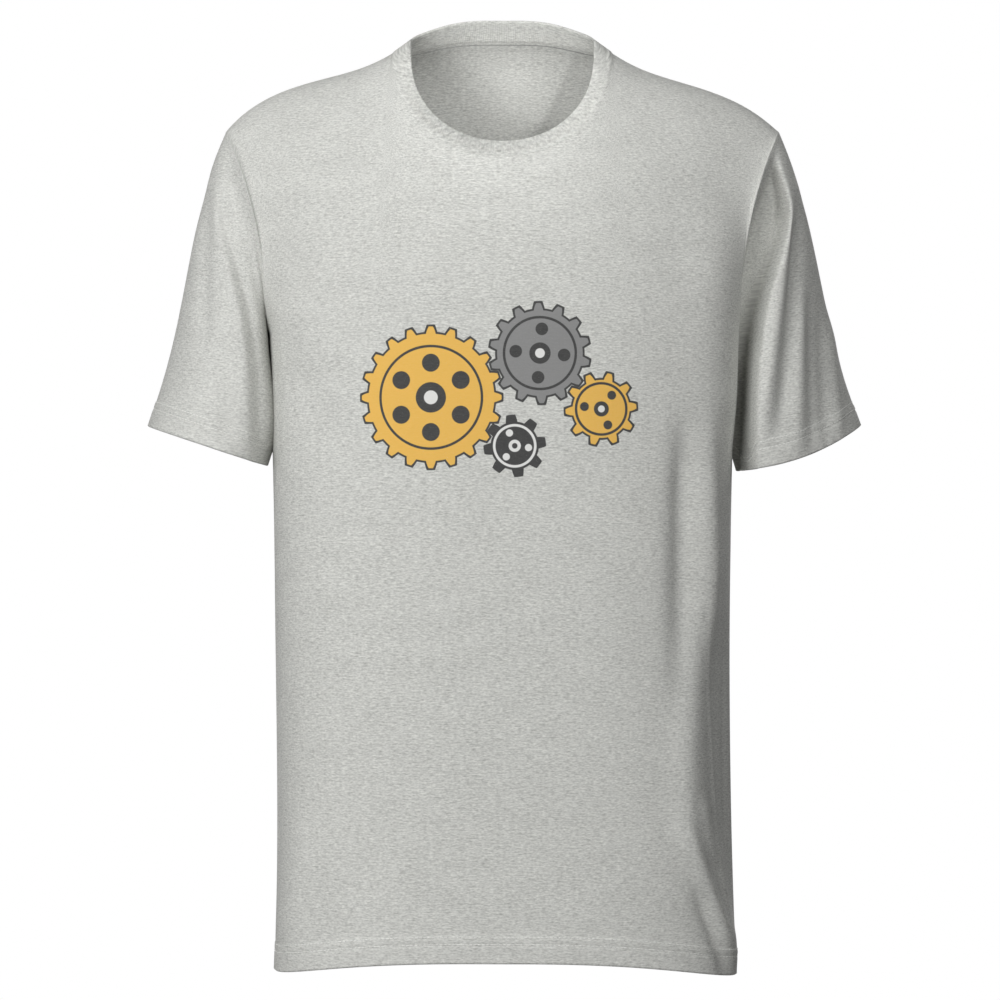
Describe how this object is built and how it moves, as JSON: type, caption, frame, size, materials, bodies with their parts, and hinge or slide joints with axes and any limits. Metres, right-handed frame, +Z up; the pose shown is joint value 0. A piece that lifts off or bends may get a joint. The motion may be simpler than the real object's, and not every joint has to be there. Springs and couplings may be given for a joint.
{
  "type": "short-sleeved t-shirt",
  "caption": "Short-sleeved crew-neck T-shirt in heather jersey, shaped as worn, with set-in sleeves, turned-up hems, a folded rib neckband and a taped back neck",
  "frame": {"origin": "midway between the two high shoulder points, where each shoulder seam meets the neckline", "axes": "+X to the wearer's left, +Y to the wearer's back, so that the front faces -Y, and +Z up along the wearer's height"},
  "size_m": [0.5788, 0.216, 0.7759],
  "materials": {
    "jersey": "heather grey single jersey, brushed flat and matt",
    "rib": "heather grey one-by-one rib, matt",
    "tape": "heather grey jersey tape, matt"
  },
  "bodies": {
    "root": {"front_body": "jersey", "back_body": "jersey", "left_sleeve": "jersey", "right_sleeve": "jersey", "neck_rib": "rib", "neck_tape": "tape"}
  },
  "joints": []
}
